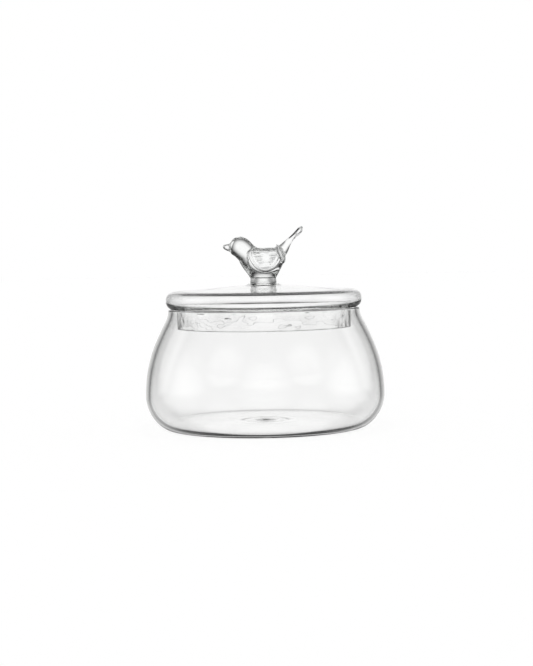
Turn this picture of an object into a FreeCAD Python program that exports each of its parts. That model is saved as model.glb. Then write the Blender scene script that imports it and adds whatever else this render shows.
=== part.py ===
import FreeCAD, Part

import math
import os

from FreeCAD import Vector

# A squat blown-glass sugar pot with a loose glass lid and a solid glass bird for a knob.
# Millimetres. +Z is up, and the origin is on the ground under the axis of the pot.
# The bird faces -X. Every size that can be chosen by itself is a named value below.

# Jar: one blown wall of even thickness
BELLY_D = 120.0           # widest outer diameter
BELLY_Z = 16.5            # height of the widest place
JAR_H = 60.0              # ground to rim
RIM_D = 95.8              # outer diameter at the rim
JAR_WALL = 2.2
STAND_D = 94.0            # outer diameter of the flat ring on which the jar stands
STAND_RING_W = 5.7        # width of that ring
HEEL_PULL = (6.9, 6.9)    # how far the heel curve follows the ground and the belly
SHOULDER_PULL = (17.0, 12.0)   # how far the shoulder curve follows the belly and the neck
NECK_LEAN = 27.0          # degrees from upright where the shoulder meets the lip
LIP_TURN_R = 12.0         # hollow turn from the shoulder up into the lip
RIM_ROUND = 0.7           # fire-polished edges of the rim
PUNT_RISE = 0.5           # push-up of the base inside the standing ring
PONTIL_D = 11.0           # dimple under the middle of the base
PONTIL_DEPTH = 0.7
NIB_D = 6.0               # low button of glass on the floor over the dimple
NIB_H = 0.3

# Lid: one blown wall that runs from the panel round a hollow bead and down the skirt
BEAD_TOP_R = 3.9          # upper round of the bead
BEAD_LOW_R = 3.9          # lower round, which sits in the rounded mouth of the jar
BEAD_SIDE_H = 1.2         # upright side between the two rounds
LID_WALL = 1.4
LID_RISE = 3.05           # crown of the panel above the crest of the bead
LID_CLEARANCE = 0.1       # between the bead and the rounded inner edge of the rim
SKIRT_CLEARANCE = 2.1     # all round, between the skirt and the mouth of the jar
SKIRT_H = 10.0            # depth of the skirt below the rim
SKIRT_TURN_R = 1.6        # hollow turn between the skirt and the underside of the bead
SKIRT_ROUND = 0.5         # fire-polished edges of the skirt

# Bird: pressed solid glass, seated on the crown of the lid
BIRD_L = 40.5             # tip of beak to tip of tail
BIRD_H = 28.5             # underside of the foot to the top of the tail
BIRD_W = 12.4             # widest place of the body
FOOT_D = 13.4             # foot at its base
FOOT_FLARE = 0.4          # foot wider at its base than at its top, on each side
FOOT_H = 3.0
FOOT_ROUND = 0.6
FOOT_TUCK = (0.35, 1.6)   # breast inside the foot where it starts: lengthwise and across
SEAT_MARGIN = 0.6         # width of the seat on the lid outside the foot
SEAT_H = 0.4              # lift of the flat seat above the crown of the panel
WING_BORDER = 1.3         # width of the raised border
WING_SINK = 0.3           # field of a wing below its border
FEATHER_COUNT = 5
FEATHER_W = 0.55          # widest place of a feather groove
FEATHER_DEPTH = 0.25
FEATHER_RISE = 4.0        # degrees by which the grooves climb towards the tail
OVALNESS = 2.3            # 2 gives true ovals, more gives flatter sides

# Skin of the bird, station by station: an upper and a lower point of the side outline,
# each in shares of the bird's length and height from the middle of the foot's underside,
# and the width there as a share of the body's width.
TRUNK_STATIONS = (
    ((-0.414, 0.672), (-0.416, 0.606), 0.10),    # closed inside the beak
    ((-0.398, 0.722), (-0.402, 0.552), 0.34),    # front of the head
    ((-0.358, 0.796), (-0.372, 0.505), 0.60),    # brow and throat
    ((-0.272, 0.828), (-0.328, 0.452), 0.74),    # crown and breast
    ((-0.180, 0.775), (-0.277, 0.380), 0.80),    # nape
    ((-0.108, 0.668), (-0.200, 0.295), 0.88),    # shoulder
    ((-0.020, 0.621), (-0.070, 0.240), 0.97),
    ((0.085, 0.627), (0.080, 0.235), 0.98),      # back
    ((0.165, 0.650), (0.200, 0.320), 0.90),
    ((0.208, 0.664), (0.283, 0.470), 0.76),      # rump
    ((0.236, 0.622), (0.277, 0.546), 0.26),      # closed inside the tail
)
TAIL_STATIONS = (
    ((0.140, 0.600), (0.200, 0.440), 0.42),      # inside the body
    ((0.222, 0.684), (0.290, 0.500), 0.50),      # root
    ((0.272, 0.739), (0.328, 0.612), 0.50),
    ((0.325, 0.804), (0.364, 0.714), 0.50),
    ((0.390, 0.890), (0.426, 0.810), 0.53),
    ((0.455, 0.980), (0.492, 0.900), 0.53),
    ((0.490, 1.000), (0.502, 0.955), 0.28),      # tip
)
BREAST_STATIONS = (             # the first one, inside the foot, follows from its diameter
    ((-0.206, 0.190), (0.196, 0.190), 0.86),
    ((-0.260, 0.300), (0.236, 0.300), 0.98),
    ((-0.294, 0.392), (0.262, 0.392), 1.00),     # under the shoulder
    ((-0.286, 0.465), (0.255, 0.465), 0.88),
    ((-0.210, 0.520), (0.200, 0.520), 0.54),     # closed inside the trunk
)
BEAK_STATIONS = (
    ((-0.385, 0.732), (-0.385, 0.552), 0.34),    # inside the head
    ((-0.430, 0.700), (-0.430, 0.574), 0.26),
    ((-0.470, 0.692), (-0.470, 0.604), 0.22),
    ((-0.492, 0.680), (-0.495, 0.630), 0.12),    # tip
)
SIDE_STATIONS = (
    ((-0.360, 0.180), (0.340, 0.180), 0.92),     # smooth side that carries the wings
    ((-0.380, 0.290), (0.350, 0.290), 1.07),
    ((-0.380, 0.410), (0.350, 0.410), 1.12),
    ((-0.370, 0.520), (0.340, 0.520), 1.02),
    ((-0.340, 0.600), (0.320, 0.600), 0.74),
    ((-0.300, 0.650), (0.300, 0.650), 0.42),
)
WING_LOW = (-0.186, 0.202)     # lower front corner of the box round a wing, same shares
WING_HIGH = (0.244, 0.604)     # upper rear corner

X = Vector(1, 0, 0)
Y = Vector(0, 1, 0)
Z = Vector(0, 0, 1)
ORIGIN = Vector(0, 0, 0)
SECTION_POINTS = 12
TOLERANCE = 1e-3


def at(across, height):
    return Vector(across, 0, height)


def line(start, end):
    return Part.LineSegment(start, end).toShape()


def arc(centre, radius, start_deg, end_deg):
    """Arc in the XZ plane; angles run from +X towards +Z."""
    points = []
    for degrees in (start_deg, (start_deg + end_deg) / 2, end_deg):
        turn = math.radians(degrees)
        points.append(centre + at(radius * math.cos(turn), radius * math.sin(turn)))
    return Part.Arc(*points).toShape()


def bezier(*poles):
    curve = Part.BezierCurve()
    curve.setPoles(list(poles))
    return curve.toShape()


def revolve(edges):
    """Solid of revolution about the Z axis of a closed outline in the XZ plane."""
    return Part.Face(Part.Wire(edges)).revolve(ORIGIN, Z, 360)


def faces_at(shape, height):
    """Flat level faces at a height."""
    found = []
    for face in shape.Faces:
        box = face.BoundBox
        if abs(box.ZMin - height) < TOLERANCE and abs(box.ZMax - height) < TOLERANCE:
            found.append(face)
    return found


def round_edges_at(shape, height, radius):
    """Shape with every level edge at a height rounded."""
    edges = []
    for edge in shape.Edges:
        box = edge.BoundBox
        if abs(box.ZMin - height) < TOLERANCE and abs(box.ZMax - height) < TOLERANCE:
            edges.append(edge)
    return shape.makeFillet(radius, edges)


def one_solid(shape):
    """The single solid that a shape holds."""
    if len(shape.Solids) != 1:
        raise ValueError("expected one solid, found %d" % len(shape.Solids))
    return shape.Solids[0]


def dome(diameter, height, level):
    """Cap of a ball standing on a level, with its crown up."""
    radius = (diameter**2 / 4 + height**2) / (2 * height)
    ball = Part.makeSphere(radius, at(0, level + height - radius))
    side = 4 * radius
    below = Part.makeBox(side, side, side, Vector(-side / 2, -side / 2, level - side))
    return ball.cut(below)


def make_jar():
    rim_r = RIM_D / 2
    lean = math.radians(NECK_LEAN)
    belly = at(BELLY_D / 2, BELLY_Z)
    stand = at(STAND_D / 2, 0)
    punt = at(STAND_D / 2 - STAND_RING_W, 0)
    neck = at(rim_r + LIP_TURN_R * (1 - math.cos(lean)), JAR_H - LIP_TURN_R * math.sin(lean))
    up_neck = at(-math.sin(lean), math.cos(lean))
    rise = Z * PUNT_RISE
    outline = [
        bezier(rise, punt / 2 + rise, punt / 2, punt),
        line(punt, stand),
        bezier(stand, stand + X * HEEL_PULL[0], belly - Z * HEEL_PULL[1], belly),
        bezier(belly, belly + Z * SHOULDER_PULL[0], neck - up_neck * SHOULDER_PULL[1], neck),
        arc(at(rim_r + LIP_TURN_R, JAR_H), LIP_TURN_R, 180 + NECK_LEAN, 180),
        line(at(rim_r, JAR_H), at(0, JAR_H)),
        line(at(0, JAR_H), rise),
    ]
    blank = revolve(outline)
    shell = blank.makeThickness(faces_at(blank, JAR_H), -JAR_WALL, TOLERANCE)
    shell = round_edges_at(shell, JAR_H, RIM_ROUND)
    floor = PUNT_RISE + JAR_WALL
    nib = dome(NIB_D, NIB_H, floor)
    pontil = dome(PONTIL_D, PONTIL_DEPTH, PUNT_RISE)
    root = Part.makeCylinder(NIB_D / 2, JAR_WALL / 2, at(0, floor - JAR_WALL / 2))
    return one_solid(shell.fuse([nib, root]).cut(pontil).removeSplitter())


def skirt_r():
    """Outer radius of the skirt, from the mouth of the jar."""
    return RIM_D / 2 - JAR_WALL - SKIRT_CLEARANCE


def bead_z():
    """Level of the underside of the bead, as it sits in the rounded inner edge of the rim."""
    across = SKIRT_CLEARANCE + RIM_ROUND - SKIRT_TURN_R
    reach = BEAD_LOW_R + LID_CLEARANCE + RIM_ROUND
    return JAR_H - RIM_ROUND + math.sqrt(reach**2 - across**2) - BEAD_LOW_R


def crown_z():
    return bead_z() + BEAD_LOW_R + BEAD_SIDE_H + BEAD_TOP_R + LID_RISE


def seat_z():
    return crown_z() + SEAT_H


def make_lid():
    skirt_z = JAR_H - SKIRT_H
    turn_centre = at(skirt_r() + SKIRT_TURN_R, bead_z() - SKIRT_TURN_R)
    low_centre = at(skirt_r() + SKIRT_TURN_R, bead_z() + BEAD_LOW_R)
    top_centre = low_centre + X * (BEAD_LOW_R - BEAD_TOP_R) + Z * BEAD_SIDE_H
    crest = top_centre + Z * BEAD_TOP_R
    crown = at(0, crown_z())
    level_pull = X * (crest.x / 3)
    outline = [
        bezier(crown, crown + level_pull, crest - level_pull, crest),
        arc(top_centre, BEAD_TOP_R, 90, 0),
        line(top_centre + X * BEAD_TOP_R, low_centre + X * BEAD_LOW_R),
        arc(low_centre, BEAD_LOW_R, 0, -90),
        arc(turn_centre, SKIRT_TURN_R, 90, 180),
        line(turn_centre - X * SKIRT_TURN_R, at(skirt_r(), skirt_z)),
        line(at(skirt_r(), skirt_z), at(0, skirt_z)),
        line(at(0, skirt_z), crown),
    ]
    blank = revolve(outline)
    shell = blank.makeThickness(faces_at(blank, skirt_z), -LID_WALL, TOLERANCE)
    shell = round_edges_at(shell, skirt_z, SKIRT_ROUND)
    seat_r = FOOT_D / 2 + SEAT_MARGIN
    root_z = crown_z() - LID_WALL / 2
    lift = seat_z() - root_z
    seat = Part.makeCone(seat_r + lift, seat_r, lift, at(0, root_z))
    return one_solid(shell.fuse(seat).removeSplitter())


def bird_point(share):
    """A place of the side outline, from its shares of the bird's length and height."""
    return at(share[0] * BIRD_L, share[1] * BIRD_H)


def skin(stations, grow=0.0):
    """Smooth solid through oval sections that stand across the side outline."""
    sections = []
    for one_side, other_side, width in stations:
        start = bird_point(one_side)
        end = bird_point(other_side)
        centre = (start + end) / 2
        points = []
        for step in range(SECTION_POINTS):
            turn = 2 * math.pi * step / SECTION_POINTS
            along = math.copysign(abs(math.cos(turn)) ** (2 / OVALNESS), math.cos(turn))
            across = math.copysign(abs(math.sin(turn)) ** (2 / OVALNESS), math.sin(turn))
            half_width = width * BIRD_W / 2 + grow
            points.append(centre + (start - centre) * along + Y * (half_width * across))
        oval = Part.BSplineCurve()
        oval.interpolate(Points=points, PeriodicFlag=True)
        sections.append(Part.Wire(oval.toShape()))
    return Part.makeLoft(sections, True)


def wing_face(inset):
    """Half-round wing outline, level above and round below, in the XZ plane."""
    low = bird_point(WING_LOW) + at(inset, inset)
    high = bird_point(WING_HIGH) - at(inset, inset)
    middle = (low.x + high.x) / 2
    front = at(low.x, high.z - inset)
    rear = at(high.x, high.z)
    keel = at(middle, low.z)
    pull_x = (high.x - low.x) / 4
    pull_z = (high.z - low.z) / 2
    edges = [
        line(front, rear),
        bezier(rear, rear - Z * pull_z, keel + X * pull_x, keel),
        bezier(keel, keel - X * pull_x, front - Z * pull_z, front),
    ]
    return Part.Face(Part.Wire(edges))


def feather_grooves(field):
    """Slim crescents across the field of a wing, as faces in the XZ plane."""
    box = field.BoundBox
    pitch = box.ZLength / (FEATHER_COUNT + 2)
    climb = math.tan(math.radians(FEATHER_RISE))
    grooves = []
    for row in range(FEATHER_COUNT):
        height = box.ZMax - (row + 1) * pitch
        front = at(box.XMin, height)
        rear = at(box.XMax, height + climb * box.XLength)
        middle = (front + rear) / 2
        upper = Part.Arc(front, middle + Z * FEATHER_W / 2, rear).toShape()
        lower = Part.Arc(rear, middle - Z * FEATHER_W / 2, front).toShape()
        grooves.append(Part.Face(Part.Wire([upper, lower])))
    return grooves


def make_wings():
    """Both wings: low pads with a raised border and feather grooves."""
    reach = Y * BIRD_W

    def through(face):
        solid = face.extrude(reach * 2)
        solid.translate(-reach)
        return solid

    pads = through(wing_face(0)).common(skin(SIDE_STATIONS))
    field = through(wing_face(WING_BORDER)).cut(skin(SIDE_STATIONS, -WING_SINK))
    inner = through(wing_face(2 * WING_BORDER))
    grooves = Part.makeCompound([through(face) for face in feather_grooves(wing_face(WING_BORDER))])
    grooves = grooves.common(inner).cut(skin(SIDE_STATIONS, -WING_SINK - FEATHER_DEPTH))
    return pads.cut([field, grooves])


def breast_root():
    """Station of the breast inside the foot, a little smaller than the foot all round."""
    foot_top_r = FOOT_D / 2 - FOOT_FLARE
    reach = (foot_top_r - FOOT_TUCK[0]) / BIRD_L
    half_width = foot_top_r - FOOT_TUCK[1]
    height = FOOT_H * 2 / 3 / BIRD_H
    return ((-reach, height), (reach, height), 2 * half_width / BIRD_W)


def make_bird():
    foot = Part.makeCone(FOOT_D / 2, FOOT_D / 2 - FOOT_FLARE, FOOT_H)
    foot = round_edges_at(foot, FOOT_H, FOOT_ROUND)
    breast = skin((breast_root(),) + BREAST_STATIONS)
    pieces = [breast, skin(TAIL_STATIONS), skin(BEAK_STATIONS), foot, make_wings()]
    bird = one_solid(skin(TRUNK_STATIONS).fuse(pieces).removeSplitter())
    bird.translate(Z * seat_z())
    return bird


os.makedirs("parts", exist_ok=True)
PARTS = {
    "jar": make_jar(),
    "lid": make_lid(),
    "bird_knob": make_bird(),
}
for name, shape in PARTS.items():
    if not shape.isValid():
        raise ValueError("%s is not a valid solid" % name)
    shape.exportStep("parts/%s.step" % name)
    print(name, "%.1f mm3" % shape.Volume)
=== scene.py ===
import bisect
import math

import bmesh
import bpy
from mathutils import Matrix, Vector, noise


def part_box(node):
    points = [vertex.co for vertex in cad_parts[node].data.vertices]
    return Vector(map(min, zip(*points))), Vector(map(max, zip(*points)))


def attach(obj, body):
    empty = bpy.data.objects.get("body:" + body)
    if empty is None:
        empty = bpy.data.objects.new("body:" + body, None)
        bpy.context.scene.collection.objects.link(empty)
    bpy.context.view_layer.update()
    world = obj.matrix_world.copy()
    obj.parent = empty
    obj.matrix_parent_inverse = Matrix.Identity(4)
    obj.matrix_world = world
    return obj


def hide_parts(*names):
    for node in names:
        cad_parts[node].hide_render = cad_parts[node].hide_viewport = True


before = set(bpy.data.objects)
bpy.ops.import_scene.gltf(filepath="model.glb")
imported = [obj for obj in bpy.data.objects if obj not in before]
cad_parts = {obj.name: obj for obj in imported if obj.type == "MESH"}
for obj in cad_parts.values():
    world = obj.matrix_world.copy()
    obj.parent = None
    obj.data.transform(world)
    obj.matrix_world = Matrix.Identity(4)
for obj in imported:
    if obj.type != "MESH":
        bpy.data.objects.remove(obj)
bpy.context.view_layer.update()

# A clear-glass sugar pot with a loose lid and a bird knob, on a white studio sweep.
# Metres and degrees, in the frame of the CAD model: +Z up, the bird faces -X.
# Every piece is made again from the sizes of the CAD model on a fine mesh, so that light bends
# through it without facets. The bird's edges are melted a little, as fire-polishing leaves them.
# Jar and lid have the CAD model's sizes. Values under "Looks" are added here, or differ from it
# on the bird, whose stations differ too where their comment says so.

MM = 0.001
JAR_LOW, JAR_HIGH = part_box("jar")
LID_LOW, LID_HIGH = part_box("lid")
BIRD_LOW, BIRD_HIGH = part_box("bird_knob")
AIR = 0.04 * MM               # thin film of air where one piece rests on the next

# Jar
BELLY_R = -JAR_LOW.x
BELLY_Z = 16.5 * MM
JAR_H = JAR_HIGH.z
RIM_R = 47.9 * MM
JAR_WALL = 2.2 * MM
STAND_R = 47.0 * MM
HEEL_PULL = (6.9 * MM, 6.9 * MM)
SHOULDER_PULL = (17.0 * MM, 12.0 * MM)
NECK_LEAN = math.radians(27.0)
LIP_TURN_R = 12.0 * MM
RIM_ROUND = 0.7 * MM
PUNT_R = 41.3 * MM            # inner radius of the standing ring, which is 5.7 mm wide
PUNT_RISE = 0.5 * MM
PONTIL_R = 5.5 * MM
PONTIL_DEPTH = 0.7 * MM
NIB_R = 3.0 * MM
NIB_H = 0.3 * MM

# Lid
BEAD_TOP_R = 3.9 * MM
BEAD_LOW_R = 3.9 * MM
BEAD_SIDE_H = 1.2 * MM
LID_WALL = 1.4 * MM
LID_RISE = 3.05 * MM
LID_CLEARANCE = 0.1 * MM
SKIRT_CLEARANCE = 2.1 * MM
SKIRT_R = RIM_R - JAR_WALL - SKIRT_CLEARANCE
SKIRT_Z = LID_LOW.z
SKIRT_TURN_R = 1.6 * MM
SKIRT_ROUND = 0.5 * MM
SEAT_R = 7.3 * MM             # flat seat of the bird, 0.6 mm wider than its foot

# Looks of jar and lid
FLOOR_WAVES = (0.12 * MM, 7.5 * MM, 20 * MM)   # height, spacing and reach of the floor's rings
BEAD_THINNING = 0.8 * MM      # by which rolling has drawn the wall of the bead thinner
THINNING_SPAN = (3 * MM, 1 * MM)   # it sets in from inside the skirt's radius to outside it
SKIRT_WAVE = 0.25 * MM        # height and size of the tool marks inside the skirt
WAVE_SIZE = 3.2 * MM
WAVE_WALL = (0.6, 1.4)        # they lie this deep from the skirt's outside, in walls
WAVE_END = (-1 * MM, 2 * MM)  # they fade out between these heights over the jar's rim

# Bird, seated on the lid
BIRD_L = 40.5 * MM
BIRD_H = BIRD_HIGH.z - BIRD_LOW.z
BIRD_W = 12.4 * MM
FOOT_R = 6.7 * MM
FOOT_FLARE = 0.4 * MM
FOOT_H = 3.0 * MM
FOOT_ROUND = 0.6 * MM
WING_BORDER = 1.3 * MM
FEATHER_COUNT = 5
FEATHER_W = 0.55 * MM
FEATHER_RISE = 4.0
OVALNESS = 2.3                # exponent of the sections: 2 is an ellipse

# Looks of the bird: slimmer below and deeper in its relief than the CAD model
FOOT_TUCK = (0.35 * MM, 2.8 * MM)   # breast inside the foot: lengthwise and across
WING_SINK = 0.42 * MM
WING_STEP = 0.3 * MM          # width of the soft step inside the border
FEATHER_DEPTH = 0.5 * MM
FEATHER_FADE = (1.6, 2.4)     # where the grooves set in, in borders from the wing's edge
BIRD_VOXEL = 0.165 * MM
MELT = 0.5                    # strength of one round of smoothing
RELAX_ROUNDS = 6              # rounds for the whole bird
POLISH_ROUNDS = 50            # rounds where it is plain, away from wings and foot
POLISH_BESIDE = 1.5 * MM      # distance from the box round a wing at which it is full
POLISH_ABOVE = 1.4            # height at which it is full, in heights of the foot

# Skin of the bird, station by station: an upper and a lower point of the side outline,
# each in shares of the bird's length and height from the middle of the foot's underside,
# and the width there as a share of the body's width. Against the CAD model, the rump and the
# trunk's end in the tail lie a little lower and further forward, and the two lowest stations of
# the breast and of the sides are narrower.
TRUNK_STATIONS = (
    ((-0.414, 0.672), (-0.416, 0.606), 0.10),    # closed inside the beak
    ((-0.398, 0.722), (-0.402, 0.552), 0.34),    # front of the head
    ((-0.358, 0.796), (-0.372, 0.505), 0.60),    # brow and throat
    ((-0.272, 0.828), (-0.328, 0.452), 0.74),    # crown and breast
    ((-0.180, 0.775), (-0.277, 0.380), 0.80),    # nape
    ((-0.108, 0.668), (-0.200, 0.295), 0.88),    # shoulder
    ((-0.020, 0.621), (-0.070, 0.240), 0.97),
    ((0.085, 0.627), (0.080, 0.235), 0.98),      # back
    ((0.165, 0.650), (0.200, 0.320), 0.90),
    ((0.204, 0.648), (0.279, 0.470), 0.72),      # rump
    ((0.228, 0.606), (0.268, 0.540), 0.30),      # closed inside the tail
)
TAIL_STATIONS = (
    ((0.140, 0.600), (0.200, 0.440), 0.42),      # inside the body
    ((0.222, 0.684), (0.290, 0.500), 0.50),      # root
    ((0.272, 0.739), (0.328, 0.612), 0.50),
    ((0.325, 0.804), (0.364, 0.714), 0.50),
    ((0.390, 0.890), (0.426, 0.810), 0.53),
    ((0.455, 0.980), (0.492, 0.900), 0.53),
    ((0.490, 1.000), (0.502, 0.955), 0.28),      # tip
)
BREAST_STATIONS = (             # a first one, inside the foot, follows from its diameter
    ((-0.206, 0.190), (0.196, 0.190), 0.68),
    ((-0.260, 0.300), (0.236, 0.300), 0.90),
    ((-0.294, 0.392), (0.262, 0.392), 1.00),     # under the shoulder
    ((-0.286, 0.465), (0.255, 0.465), 0.88),
    ((-0.210, 0.520), (0.200, 0.520), 0.54),     # closed inside the trunk
)
BEAK_STATIONS = (
    ((-0.385, 0.732), (-0.385, 0.552), 0.34),    # inside the head
    ((-0.430, 0.700), (-0.430, 0.574), 0.26),
    ((-0.470, 0.692), (-0.470, 0.604), 0.22),
    ((-0.492, 0.680), (-0.495, 0.630), 0.12),    # tip
)
SIDE_STATIONS = (               # smooth side that carries the wings
    ((-0.360, 0.180), (0.340, 0.180), 0.80),
    ((-0.380, 0.290), (0.350, 0.290), 1.03),
    ((-0.380, 0.410), (0.350, 0.410), 1.12),
    ((-0.370, 0.520), (0.340, 0.520), 1.02),
    ((-0.340, 0.600), (0.320, 0.600), 0.74),
    ((-0.300, 0.650), (0.300, 0.650), 0.42),
)
WING_LOW = (-0.186, 0.202)      # lower front corner of the box round a wing, same shares
WING_HIGH = (0.244, 0.604)      # upper rear corner

# Fineness of the meshes
SPIN_STEPS = 288
CURVE_STEPS = 40
BROAD_STEPS = 60              # base of the jar and panel of the lid
ARC_STEPS = 12
BEAD_STEPS = 28
TURN_STEPS = 16
EDGE_STEPS = 8
FLAT_STEPS = 6
OVAL_STEPS = 6                # rings between two stations of the bird
OVAL_POINTS = 64
FOOT_POINTS = 96
FOOT_ARC = 15                 # degrees between points of the foot's rounded edge
WING_EDGE_STEPS = 50
WING_FACE_STEPS = 44
SAME_POINT = 1e-6             # points nearer than this are one
ON_AXIS = 1e-7                # radius below which a point lies on the axis


def line(start, end, steps=2):
    return [tuple(a + (b - a) * i / steps for a, b in zip(start, end)) for i in range(steps + 1)]


def bezier(p0, p1, p2, p3, steps=CURVE_STEPS):
    points = []
    for i in range(steps + 1):
        t = i / steps
        u = 1 - t
        weights = (u * u * u, 3 * u * u * t, 3 * u * t * t, t * t * t)
        pulls = list(zip(weights, (p0, p1, p2, p3)))
        points.append(tuple(sum(w * p[k] for w, p in pulls) for k in (0, 1)))
    return points


def arc(centre, radius, start, end, steps=ARC_STEPS):
    points = []
    for i in range(steps + 1):
        turn = math.radians(start + (end - start) * i / steps)
        points.append((centre[0] + radius * math.cos(turn), centre[1] + radius * math.sin(turn)))
    return points


def joined(*runs):
    """One run of points without the doubles where two runs meet."""
    points = []
    for run in runs:
        for p in run:
            if not points or math.dist(p, points[-1]) > SAME_POINT:
                points.append(p)
    return points


def offset(points, distances):
    """Run of points moved square to its own direction, to its left for positive distances."""
    moved = []
    for i, (p, distance) in enumerate(zip(points, distances)):
        before = points[max(i - 1, 0)]
        after = points[min(i + 1, len(points) - 1)]
        dx = after[0] - before[0]
        dz = after[1] - before[1]
        size = math.hypot(dx, dz)
        moved.append((p[0] - dz / size * distance, p[1] + dx / size * distance))
    return moved


def swell(radius, reach):
    """1 on the axis, falling smoothly to 0 at the reach."""
    return 0.5 + 0.5 * math.cos(math.pi * min(radius / reach, 1.0))


def ease(value, low, high):
    """0 below the low mark, 1 above the high one, smooth between."""
    t = min(max((value - low) / (high - low), 0), 1)
    return t * t * (3 - 2 * t)


def spin(name, outline, wave=None):
    """Closed surface of revolution of an outline that starts and ends on the axis.

    A wave moves each point in or out by a length that depends on the point.
    """
    mesh = bpy.data.meshes.new(name)
    work = bmesh.new()
    rings = []
    for radius, height in outline:
        if radius < ON_AXIS:
            rings.append([work.verts.new((0, 0, height))])
            continue
        ring = []
        for step in range(SPIN_STEPS):
            turn = 2 * math.pi * step / SPIN_STEPS
            place = Vector((radius * math.cos(turn), radius * math.sin(turn), height))
            if wave:
                place *= Vector((1, 1, 0)) * (wave(radius, place) / radius) + Vector((1, 1, 1))
            ring.append(work.verts.new(place))
        rings.append(ring)
    for low, high in zip(rings, rings[1:]):
        for step in range(SPIN_STEPS):
            after = (step + 1) % SPIN_STEPS
            if len(low) == 1:
                work.faces.new((low[0], high[after], high[step]))
            elif len(high) == 1:
                work.faces.new((low[step], low[after], high[0]))
            else:
                work.faces.new((low[step], low[after], high[after], high[step]))
    for face in work.faces:
        face.smooth = True
    bmesh.ops.recalc_face_normals(work, faces=work.faces)
    work.to_mesh(mesh)
    work.free()
    piece = bpy.data.objects.new(name, mesh)
    bpy.context.scene.collection.objects.link(piece)
    return piece


def jar_outline():
    rim_z = JAR_H - AIR
    neck_r = RIM_R + LIP_TURN_R * (1 - math.cos(NECK_LEAN))
    neck_z = rim_z - LIP_TURN_R * math.sin(NECK_LEAN)
    neck = (neck_r, neck_z)
    below_r = math.sin(NECK_LEAN) * SHOULDER_PULL[1]
    below_z = -math.cos(NECK_LEAN) * SHOULDER_PULL[1]
    heel = (STAND_R, 0)
    belly = (BELLY_R, BELLY_Z)
    outer = joined(
        bezier((0, PUNT_RISE), (PUNT_R / 2, PUNT_RISE), (PUNT_R / 2, 0), (PUNT_R, 0), BROAD_STEPS),
        line((PUNT_R, 0), heel, FLAT_STEPS),
        bezier(heel, (STAND_R + HEEL_PULL[0], 0), (BELLY_R, BELLY_Z - HEEL_PULL[1]), belly),
        bezier(
            belly,
            (BELLY_R, BELLY_Z + SHOULDER_PULL[0]),
            (neck_r + below_r, neck_z + below_z),
            neck,
        ),
        arc((RIM_R + LIP_TURN_R, rim_z), LIP_TURN_R, 180 + math.degrees(NECK_LEAN), 180),
    )
    inner = offset(outer, [JAR_WALL] * len(outer))
    inner[0] = (0, inner[0][1])
    edge_z = rim_z - RIM_ROUND
    outside = [(r, z + PONTIL_DEPTH * swell(r, PONTIL_R)) for r, z in outer if z < edge_z]
    wave_h, spacing, reach = FLOOR_WAVES
    inside = []
    for r, z in inner:
        if z < edge_z:
            wave = wave_h * math.cos(2 * math.pi * r / spacing) * swell(r, reach)
            inside.append((r, z + NIB_H * swell(r, NIB_R) + wave))
    rim = joined(
        arc((RIM_R - RIM_ROUND, edge_z), RIM_ROUND, 0, 90, EDGE_STEPS),
        arc((RIM_R - JAR_WALL + RIM_ROUND, edge_z), RIM_ROUND, 90, 180, EDGE_STEPS),
    )
    return joined(outside, rim, inside[::-1])


def lid_outline():
    across = SKIRT_CLEARANCE + RIM_ROUND - SKIRT_TURN_R
    reach = BEAD_LOW_R + LID_CLEARANCE + RIM_ROUND
    bead_z = JAR_H - RIM_ROUND + math.sqrt(reach**2 - across**2) - BEAD_LOW_R
    turn_centre = (SKIRT_R + SKIRT_TURN_R, bead_z - SKIRT_TURN_R)
    low_centre = (SKIRT_R + SKIRT_TURN_R, bead_z + BEAD_LOW_R)
    top_centre = (low_centre[0] + BEAD_LOW_R - BEAD_TOP_R, low_centre[1] + BEAD_SIDE_H)
    crest = (top_centre[0], top_centre[1] + BEAD_TOP_R)
    crown_z = crest[1] + LID_RISE
    outer = joined(
        bezier(
            (0, crown_z),
            (crest[0] / 3, crown_z),
            (crest[0] * 2 / 3, crest[1]),
            crest,
            BROAD_STEPS,
        ),
        arc(top_centre, BEAD_TOP_R, 90, 0, BEAD_STEPS),
        line(
            (top_centre[0] + BEAD_TOP_R, top_centre[1]),
            (low_centre[0] + BEAD_LOW_R, low_centre[1]),
            FLAT_STEPS,
        ),
        arc(low_centre, BEAD_LOW_R, 0, -90, BEAD_STEPS),
        arc(turn_centre, SKIRT_TURN_R, 90, 180, TURN_STEPS),
        line((SKIRT_R, turn_centre[1]), (SKIRT_R, SKIRT_Z + SKIRT_ROUND), TURN_STEPS),
    )
    walls = []
    for r, z in outer:
        outward = ease(r, SKIRT_R - THINNING_SPAN[0], SKIRT_R + THINNING_SPAN[1])
        upward = ease(z, turn_centre[1], low_centre[1])
        walls.append(LID_WALL - BEAD_THINNING * (outward * upward))
    inner = offset(outer, [-wall for wall in walls])
    inner[0] = (0, inner[0][1])
    seat_top = LID_HIGH.z - AIR
    top = [(r, seat_top if r < SEAT_R + (seat_top - z) else z) for r, z in outer]
    edge_z = SKIRT_Z + SKIRT_ROUND
    edge = joined(
        arc((SKIRT_R - SKIRT_ROUND, edge_z), SKIRT_ROUND, 0, -90, EDGE_STEPS),
        arc((SKIRT_R - LID_WALL + SKIRT_ROUND, edge_z), SKIRT_ROUND, -90, -180, EDGE_STEPS),
    )
    return joined(top, edge, inner[::-1])


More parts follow.
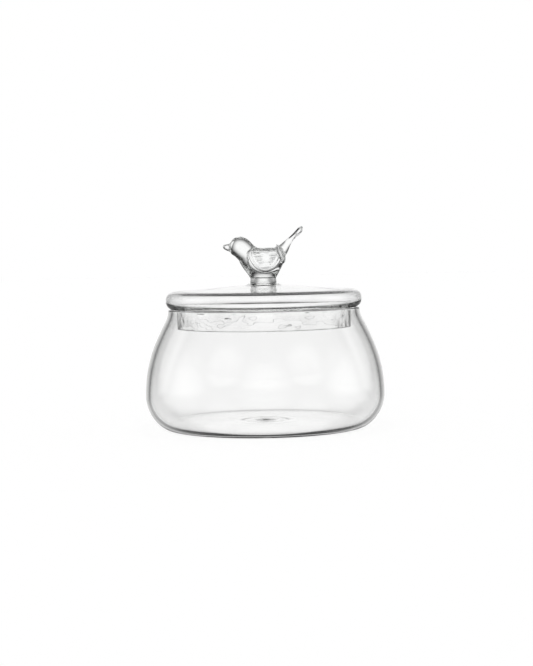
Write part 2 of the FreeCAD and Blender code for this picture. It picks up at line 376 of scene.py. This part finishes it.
def spline(knots, values):
    """Smooth curve through values at rising knots, as a function of the knot."""
    count = len(knots)
    gaps = [after - before for before, after in zip(knots, knots[1:])]
    share = [0.0] * count
    right = [0.0] * count
    bends = [0.0] * count
    for i in range(1, count - 1):
        slope_after = (values[i + 1] - values[i]) / gaps[i]
        slope_before = (values[i] - values[i - 1]) / gaps[i - 1]
        kink = slope_after - slope_before
        pivot = 2 * (gaps[i - 1] + gaps[i]) - gaps[i - 1] * share[i - 1]
        share[i] = gaps[i] / pivot
        right[i] = (6 * kink - gaps[i - 1] * right[i - 1]) / pivot
    for i in range(count - 2, 0, -1):
        bends[i] = right[i] - share[i] * bends[i + 1]

    def value(t):
        i = min(max(bisect.bisect(knots, t) - 1, 0), count - 2)
        gap = gaps[i]
        left = (knots[i + 1] - t) / gap
        rest = 1 - left
        curve = (left**3 - left) * bends[i] + (rest**3 - rest) * bends[i + 1]
        return left * values[i] + rest * values[i + 1] + curve * gap * gap / 6

    return value


def skirt_wave(radius, place):
    """Tool marks on the inside of the lid's skirt: it is a little uneven all round."""
    outer = SKIRT_R - WAVE_WALL[0] * LID_WALL
    inner = SKIRT_R - WAVE_WALL[1] * LID_WALL
    if radius > outer or radius < inner:
        return 0.0
    fall = 1 - ease(place.z, JAR_H + WAVE_END[0], JAR_H + WAVE_END[1])
    return SKIRT_WAVE * fall * noise.noise(place / WAVE_SIZE)


def bird_point(share):
    """A place of the side outline, from its shares of the bird's length and height."""
    return Vector((share[0] * BIRD_L, 0, BIRD_LOW.z + share[1] * BIRD_H))


def power(value, exponent):
    """Power of the size of a value, with the sign of the value."""
    return math.copysign(abs(value) ** exponent, value)


def close_tube(work, rings):
    """Closed skin over rings of points, flat at both ends."""
    rows = [[work.verts.new(p) for p in ring] for ring in rings]
    count = len(rows[0])
    for low, high in zip(rows, rows[1:]):
        for i in range(count):
            after = (i + 1) % count
            work.faces.new((low[i], low[after], high[after], high[i]))
    work.faces.new(rows[0][::-1])
    work.faces.new(rows[-1])


def oval_rings(stations, steps=OVAL_STEPS, around=OVAL_POINTS):
    """Rings of a smooth skin through oval sections that stand across the side outline."""
    starts = [bird_point(start) for start, end, width in stations]
    ends = [bird_point(end) for start, end, width in stations]
    widths = [width * BIRD_W / 2 for start, end, width in stations]
    middles = [(start + end) / 2 for start, end in zip(starts, ends)]
    knots = [0.0]
    for before, after in zip(middles, middles[1:]):
        knots.append(knots[-1] + (after - before).length)
    runs = (
        [p.x for p in starts],
        [p.z for p in starts],
        [p.x for p in ends],
        [p.z for p in ends],
        widths,
    )
    curves = [spline(knots, run) for run in runs]
    marks = []
    for before, after in zip(knots, knots[1:]):
        for step in range(steps):
            marks.append(before + (after - before) * step / steps)
    marks.append(knots[-1])
    rings = []
    for mark in marks:
        start_x, start_z, end_x, end_z, half_width = (curve(mark) for curve in curves)
        start = Vector((start_x, 0, start_z))
        centre = (start + Vector((end_x, 0, end_z))) / 2
        ring = []
        for i in range(around):
            turn = 2 * math.pi * i / around
            along = (start - centre) * power(math.cos(turn), 2 / OVALNESS)
            across = Vector((0, half_width * power(math.sin(turn), 2 / OVALNESS), 0))
            ring.append(centre + along + across)
        rings.append(ring)
    return rings


def foot_rings(around=FOOT_POINTS):
    """Rings of the round foot, which tapers upwards to a rounded edge."""
    outline = [(0.0, 0.0)]
    for turn in range(0, 90 + FOOT_ARC, FOOT_ARC):
        angle = math.radians(turn)
        inset = -FOOT_ROUND * (1 - math.cos(angle))
        outline.append((inset, FOOT_H - FOOT_ROUND * (1 - math.sin(angle))))
    rings = []
    for inset, height in outline:
        radius = FOOT_R - FOOT_FLARE * height / FOOT_H + inset
        ring = []
        for i in range(around):
            turn = 2 * math.pi * i / around
            ring.append((radius * math.cos(turn), radius * math.sin(turn), BIRD_LOW.z + height))
        rings.append(ring)
    return rings


def wing_outline():
    """Half-round outline in (x, z), level above and round below."""
    low = bird_point(WING_LOW)
    high = bird_point(WING_HIGH)
    middle = (low.x + high.x) / 2
    pull_x = (high.x - low.x) / 4
    pull_z = (high.z - low.z) / 2
    rear = (high.x, high.z)
    front = (low.x, high.z)
    keel = (middle, low.z)
    return joined(
        line(front, rear, WING_EDGE_STEPS),
        bezier(
            rear,
            (rear[0], rear[1] - pull_z),
            (keel[0] + pull_x, keel[1]),
            keel,
            WING_EDGE_STEPS,
        ),
        bezier(
            keel,
            (keel[0] - pull_x, keel[1]),
            (front[0], front[1] - pull_z),
            front,
            WING_EDGE_STEPS,
        ),
    )[:-1]


def side_reach():
    """Half width of the smooth side that carries the wings, as a function of x and z."""
    knots = [bird_point(start).z for start, end, width in SIDE_STATIONS]
    front = spline(knots, [start[0] * BIRD_L for start, end, width in SIDE_STATIONS])
    rear = spline(knots, [end[0] * BIRD_L for start, end, width in SIDE_STATIONS])
    half_width = spline(knots, [width * BIRD_W / 2 for start, end, width in SIDE_STATIONS])

    def reach(x, z):
        half_length = (rear(z) - front(z)) / 2
        along = abs(x - (rear(z) + front(z)) / 2) / half_length
        return half_width(z) * max(1 - along**OVALNESS, 0) ** (1 / OVALNESS)

    return reach


def wing_relief(outline):
    """Depth of the wing below its border, as a function of x and z."""
    low = bird_point(WING_LOW)
    high = bird_point(WING_HIGH)
    pitch = (high.z - low.z - 2 * WING_BORDER) / (FEATHER_COUNT + 2)
    climb = math.tan(math.radians(FEATHER_RISE))

    def depth(x, z):
        edge = min(math.dist((x, z), p) for p in outline)
        sink = WING_SINK * ease(edge, WING_BORDER - WING_STEP, WING_BORDER)
        inner = ease(edge, WING_BORDER * FEATHER_FADE[0], WING_BORDER * FEATHER_FADE[1])
        for row in range(FEATHER_COUNT):
            height = high.z - WING_BORDER - (row + 1) * pitch + climb * (x - low.x)
            aside = ease(abs(z - height), 0, FEATHER_W / 2 + WING_STEP / 2)
            sink += FEATHER_DEPTH * inner * (1 - aside)
        return sink

    return depth


def wing_rings(steps=WING_FACE_STEPS):
    """Both wings as one slab through the body, whose two faces carry the relief."""
    outline = wing_outline()
    reach = side_reach()
    depth = wing_relief(outline)
    low = bird_point(WING_LOW)
    high = bird_point(WING_HIGH)
    centre = ((low.x + high.x) / 2, (low.z + 2 * high.z) / 3)
    face = []
    for step in range(1, steps + 1):
        ring = []
        for p in outline:
            x = centre[0] + (p[0] - centre[0]) * step / steps
            z = centre[1] + (p[1] - centre[1]) * step / steps
            ring.append((x, reach(x, z) - depth(x, z), z))
        face.append(ring)
    back = [[(x, -y, z) for x, y, z in ring] for ring in face]
    return face + back[::-1]


def settle(piece):
    """Turns what the modifiers of a piece show into its own mesh, and takes them off."""
    bpy.context.view_layer.update()
    shown = piece.evaluated_get(bpy.context.evaluated_depsgraph_get())
    mesh = bpy.data.meshes.new_from_object(shown)
    piece.modifiers.clear()
    piece.data = mesh
    return mesh


def pressed_bird():
    """One smooth skin round trunk, tail, beak, breast, foot and wings."""
    root_r = FOOT_R - FOOT_FLARE
    root_x = (root_r - FOOT_TUCK[0]) / BIRD_L
    root_z = FOOT_H * 2 / 3 / BIRD_H
    root = ((-root_x, root_z), (root_x, root_z), 2 * (root_r - FOOT_TUCK[1]) / BIRD_W)
    work = bmesh.new()
    for rings in (
        oval_rings(TRUNK_STATIONS),
        oval_rings(TAIL_STATIONS),
        oval_rings(BEAK_STATIONS),
        oval_rings((root,) + BREAST_STATIONS),
        foot_rings(),
        wing_rings(),
    ):
        close_tube(work, rings)
    bmesh.ops.recalc_face_normals(work, faces=work.faces)
    rough = bpy.data.meshes.new("bird_pieces")
    work.to_mesh(rough)
    work.free()
    piece = bpy.data.objects.new("bird_of_pressed_glass", rough)
    bpy.context.scene.collection.objects.link(piece)
    remesh = piece.modifiers.new("even", "REMESH")
    remesh.mode = "VOXEL"
    remesh.voxel_size = BIRD_VOXEL
    remesh.use_smooth_shade = True
    relax = piece.modifiers.new("relax", "SMOOTH")
    relax.factor = MELT
    relax.iterations = RELAX_ROUNDS
    mesh = settle(piece)
    low = bird_point(WING_LOW)
    high = bird_point(WING_HIGH)
    plain = piece.vertex_groups.new(name="plain")
    for v in mesh.vertices:
        beside = max(low.x - v.co.x, v.co.x - high.x, low.z - v.co.z, v.co.z - high.z)
        above = ease(v.co.z - BIRD_LOW.z, FOOT_H, FOOT_H * POLISH_ABOVE)
        plain.add([v.index], ease(beside, 0.0, POLISH_BESIDE) * above, "REPLACE")
    polish = piece.modifiers.new("polish", "SMOOTH")
    polish.factor = MELT
    polish.iterations = POLISH_ROUNDS
    polish.vertex_group = plain.name
    mesh = settle(piece)
    mesh.name = piece.name
    piece.vertex_groups.clear()
    for v in mesh.vertices:
        v.co.z = max(v.co.z, BIRD_LOW.z)
    for face in mesh.polygons:
        face.use_smooth = True
    return piece


# Faint waves on the skin of the glass
RIPPLE_SCALE = 60.0           # per metre
RIPPLE_DETAIL = 1.0
RIPPLE_STRENGTH = 0.02
RIPPLE_H = 1 * MM


def glass(name, ior, absorb, density):
    """Clear glass: faint body colour in its depth, faint waves from the making on its skin."""
    material = bpy.data.materials.new(name)
    material.use_nodes = True
    nodes = material.node_tree.nodes
    links = material.node_tree.links
    shader = nodes["Principled BSDF"]
    shader.inputs["Base Color"].default_value = (1, 1, 1, 1)
    shader.inputs["Roughness"].default_value = 0.0
    shader.inputs["IOR"].default_value = ior
    shader.inputs["Transmission Weight"].default_value = 1.0
    depth = nodes.new("ShaderNodeVolumeAbsorption")
    depth.inputs["Color"].default_value = absorb
    depth.inputs["Density"].default_value = density
    links.new(depth.outputs["Volume"], nodes["Material Output"].inputs["Volume"])
    place = nodes.new("ShaderNodeTexCoord")
    waves = nodes.new("ShaderNodeTexNoise")
    waves.inputs["Scale"].default_value = RIPPLE_SCALE
    waves.inputs["Detail"].default_value = RIPPLE_DETAIL
    bump = nodes.new("ShaderNodeBump")
    bump.inputs["Strength"].default_value = RIPPLE_STRENGTH
    bump.inputs["Distance"].default_value = RIPPLE_H
    links.new(place.outputs["Object"], waves.inputs["Vector"])
    links.new(waves.outputs["Fac"], bump.inputs["Height"])
    links.new(bump.outputs["Normal"], shader.inputs["Normal"])
    return material


def build_pot():
    blown = glass("clear_blown_glass", ior=1.47, absorb=(0.93, 0.96, 0.90, 1), density=12.0)
    pressed = glass("clear_pressed_glass", ior=1.50, absorb=(0.92, 0.96, 0.93, 1), density=16.0)
    for piece, node, slot, material in (
        (spin("jar_of_blown_glass", jar_outline()), "jar", "blown_glass", blown),
        (spin("lid_of_blown_glass", lid_outline(), skirt_wave), "lid", "blown_glass", blown),
        (pressed_bird(), "bird_knob", "pressed_glass", pressed),
    ):
        piece.data.materials.clear()
        piece.data.materials.append(material)
        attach(piece, "root")
        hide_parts(node)


SWEEP_SIZE = 4.0              # from its middle to a side


def build_floor():
    """White sweep: it takes the pot's shade, and is clear to what is seen through the glass."""
    level = JAR_LOW.z - AIR
    turns = ((-1, -1), (1, -1), (1, 1), (-1, 1))
    corners = [(x * SWEEP_SIZE, y * SWEEP_SIZE, level) for x, y in turns]
    mesh = bpy.data.meshes.new("white_sweep")
    mesh.from_pydata(corners, [], [(0, 1, 2, 3)])
    floor = bpy.data.objects.new("white_sweep", mesh)
    bpy.context.scene.collection.objects.link(floor)
    material = bpy.data.materials.new("white_sweep")
    material.use_nodes = True
    nodes = material.node_tree.nodes
    links = material.node_tree.links
    nodes.clear()
    ray = nodes.new("ShaderNodeLightPath")
    seen = nodes.new("ShaderNodeMath")
    seen.operation = "MAXIMUM"
    paint = nodes.new("ShaderNodeBsdfDiffuse")
    paint.inputs["Color"].default_value = (1, 1, 1, 1)
    clear = nodes.new("ShaderNodeBsdfTransparent")
    mix = nodes.new("ShaderNodeMixShader")
    out = nodes.new("ShaderNodeOutputMaterial")
    links.new(ray.outputs["Is Glossy Ray"], seen.inputs[0])
    links.new(ray.outputs["Is Transmission Ray"], seen.inputs[1])
    links.new(seen.outputs[0], mix.inputs["Fac"])
    links.new(paint.outputs[0], mix.inputs[1])
    links.new(clear.outputs[0], mix.inputs[2])
    links.new(mix.outputs[0], out.inputs["Surface"])
    mesh.materials.append(material)


# Studio seen through the glass: a soft white panel behind the pot on every side, and a dark room
# between the panels, which draws the edges of the glass. Degrees from the middle of a panel.
ROOM_DARK = 0.035
SIDE_FADE = (8, 36)           # where a side panel begins to fade and where it ends
SIDE_DIP = 3.0                # how far below level the middle of a side panel lies
CORNER_FADE = (10, 26)        # the same for the smaller panels between the sides
CORNER_DIP = 20.0
GROUND_PANEL = (-60, -50)     # heights: white below the first, none above the second
# What the glass mirrors on its outside
MIRROR_LIGHT = 0.95
MIRROR_DARK = 0.30
MIRROR_FLAG = ((5, 22), (58, 75))     # black flags left and right of the far panel
MIRROR_GROUND = (-12, -4)     # black below the first height, and above the second of the next
MIRROR_CEILING = (18, 40)
MIRROR_AHEAD = (0.0, 0.2)     # both only towards +Y: none to full, as the direction's y


def build_world():
    world = bpy.data.worlds.new("studio")
    bpy.context.scene.world = world
    world.use_nodes = True
    nodes = world.node_tree.nodes
    links = world.node_tree.links
    nodes.clear()

    def plug(socket, value):
        if isinstance(value, (int, float)):
            socket.default_value = value
        else:
            links.new(value, socket)

    def calc(operation, first, second=0.0):
        node = nodes.new("ShaderNodeMath")
        node.operation = operation
        plug(node.inputs[0], first)
        plug(node.inputs[1], second)
        return node.outputs[0]

    def fade(value, span, start=0.0, end=1.0):
        node = nodes.new("ShaderNodeMapRange")
        node.interpolation_type = "SMOOTHSTEP"
        links.new(value, node.inputs["Value"])
        node.inputs["From Min"].default_value = span[0]
        node.inputs["From Max"].default_value = span[1]
        node.inputs["To Min"].default_value = start
        node.inputs["To Max"].default_value = end
        return node.outputs["Result"]

    def blend(factor, first, second):
        node = nodes.new("ShaderNodeMix")
        node.data_type = "FLOAT"
        plug(node.inputs["Factor"], factor)
        plug(node.inputs["A"], first)
        plug(node.inputs["B"], second)
        return node.outputs["Result"]

    def angle_to(level, height, dip):
        """Degrees to the nearest panel whose middle lies below level by a dip."""
        turn = math.radians(dip)
        ahead = calc("MULTIPLY", level, math.cos(turn))
        below = calc("MULTIPLY", height, -math.sin(turn))
        return calc("DEGREES", calc("ARCCOSINE", calc("ADD", ahead, below)))

    place = nodes.new("ShaderNodeTexCoord")
    split = nodes.new("ShaderNodeSeparateXYZ")
    links.new(place.outputs["Generated"], split.inputs[0])
    x, y, z = split.outputs
    across_x = calc("ABSOLUTE", x)
    across_y = calc("ABSOLUTE", y)
    to_side = angle_to(calc("MAXIMUM", across_x, across_y), z, SIDE_DIP)
    between = calc("MULTIPLY", calc("ADD", across_x, across_y), math.sqrt(0.5))
    to_corner = angle_to(between, z, CORNER_DIP)
    height = calc("DEGREES", calc("ARCSINE", z))
    room = fade(to_side, SIDE_FADE, 1.0, ROOM_DARK)
    room = calc("MAXIMUM", room, fade(to_corner, CORNER_FADE, 1.0, 0.0))
    room = calc("MAXIMUM", room, fade(height, GROUND_PANEL, 1.0, 0.0))

    from_far = calc("DEGREES", calc("ARCTAN2", across_x, y))
    flag_near = fade(from_far, MIRROR_FLAG[0])
    flag = calc("MULTIPLY", flag_near, fade(from_far, MIRROR_FLAG[1], 1.0, 0.0))
    ground = fade(height, MIRROR_GROUND, 1.0, 0.0)
    above_below = calc("MAXIMUM", ground, fade(height, MIRROR_CEILING))
    black = calc("MAXIMUM", flag, calc("MULTIPLY", above_below, fade(y, MIRROR_AHEAD)))
    mirrored = blend(black, MIRROR_LIGHT, MIRROR_DARK)

    ray = nodes.new("ShaderNodeLightPath")
    direct = calc("LESS_THAN", ray.outputs["Diffuse Depth"], 0.5)
    strength = blend(calc("MULTIPLY", ray.outputs["Is Glossy Ray"], direct), 1.0, mirrored)
    strength = blend(calc("MULTIPLY", ray.outputs["Is Transmission Ray"], direct), strength, room)
    light = nodes.new("ShaderNodeBackground")
    light.inputs["Color"].default_value = (1, 1, 1, 1)
    links.new(strength, light.inputs["Strength"])
    out = nodes.new("ShaderNodeOutputWorld")
    links.new(light.outputs[0], out.inputs["Surface"])


# Camera, fitted to the outline of the pot in the photograph
CAMERA_PLACE = (0.0019, -0.793, 0.0915)
CAMERA_DIP = 3.184            # looks this far below level
CAMERA_ROLL = 1.0
CAMERA_LENS = 85.4            # this and the sensor in millimetres
CAMERA_SENSOR = 36.0
CAMERA_NEAR = 0.01


def build_camera():
    data = bpy.data.cameras.new("camera")
    data.lens = CAMERA_LENS
    data.sensor_width = CAMERA_SENSOR
    data.clip_start = CAMERA_NEAR
    camera = bpy.data.objects.new("camera", data)
    camera.location = CAMERA_PLACE
    camera.rotation_euler = (math.radians(90 - CAMERA_DIP), math.radians(CAMERA_ROLL), 0)
    bpy.context.scene.collection.objects.link(camera)
    bpy.context.scene.camera = camera


build_camera()
build_world()
build_floor()
build_pot()
scene = bpy.context.scene
scene.view_settings.view_transform = "Standard"
scene.cycles.blur_glossy = 0.0
scene.cycles.max_bounces = 24
scene.cycles.transmission_bounces = 20
scene.cycles.glossy_bounces = 16
